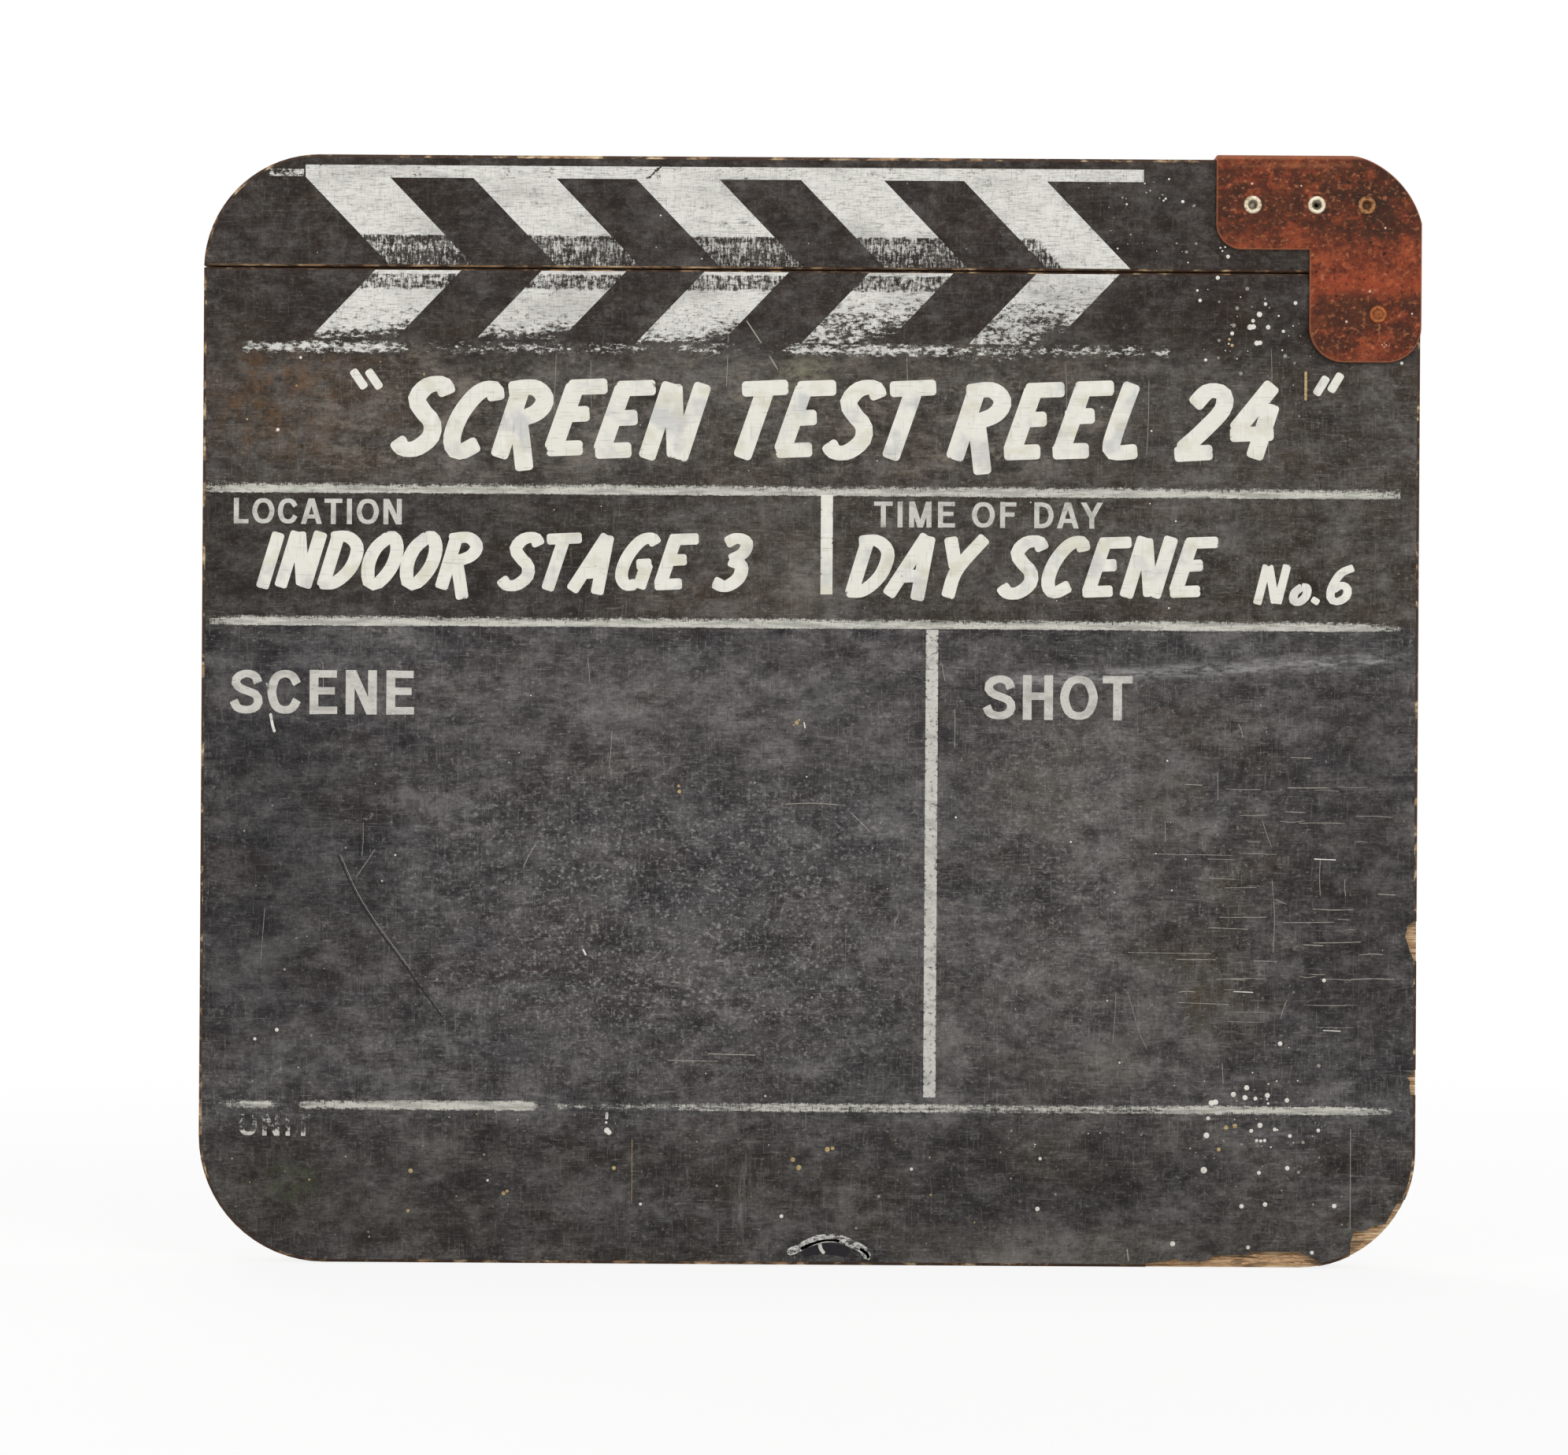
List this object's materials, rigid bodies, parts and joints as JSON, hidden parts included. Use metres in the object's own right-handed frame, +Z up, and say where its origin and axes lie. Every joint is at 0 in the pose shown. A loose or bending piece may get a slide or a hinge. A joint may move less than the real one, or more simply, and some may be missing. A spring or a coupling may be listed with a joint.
{
  "type": "film clapperboard",
  "caption": "Plywood film clapperboard with a sawn-off clap stick that swings on a riveted steel corner bracket.",
  "frame": {"origin": "middle of the bottom edge of the board, half way through its thickness, when the board stands upright", "axes": "+X to the right as the writing face is read, +Z up, writing face towards -Y"},
  "size_m": [0.3048, 0.0164, 0.2787],
  "materials": {
    "painted_veneer": "matt blackboard paint on birch veneer, chalk-grey and worn through at the arrises",
    "crossband_ply": "bare birch ply, grain across the board",
    "inner_ply": "bare birch ply, grain along the board",
    "rusted_steel": "mild steel sheet, evenly rusted with dark stains",
    "brass_rivet": "dull brass, rubbed bright on the rolled rims",
    "rusted_rivet": "rusted steel",
    "spacer_tube": "plain drawn steel tube"
  },
  "bodies": {
    "board": {"board_face_veneer": "painted_veneer", "board_front_crossband": "crossband_ply", "board_front_inner_ply": "inner_ply", "board_core_ply": "inner_ply", "board_rear_inner_ply": "inner_ply", "board_rear_crossband": "crossband_ply", "board_back_veneer": "painted_veneer"},
    "clapper": {"stick_face_veneer": "painted_veneer", "stick_front_crossband": "crossband_ply", "stick_front_inner_ply": "inner_ply", "stick_core_ply": "inner_ply", "stick_rear_inner_ply": "inner_ply", "stick_rear_crossband": "crossband_ply", "stick_back_veneer": "painted_veneer", "hinge_bracket": "rusted_steel", "stick_rivet_left": "brass_rivet", "stick_rivet_middle": "brass_rivet", "stick_rivet_right": "rusted_rivet", "pivot_rivet": "rusted_rivet", "pivot_spacer": "spacer_tube"}
  },
  "joints": [
    {"name": "clap_hinge", "type": "hinge", "parent": "board", "child": "clapper", "pos_m": [0.1415, 0, 0.23885], "axis": [0, 1, 0], "range_deg": [0, 80]}
  ]
}
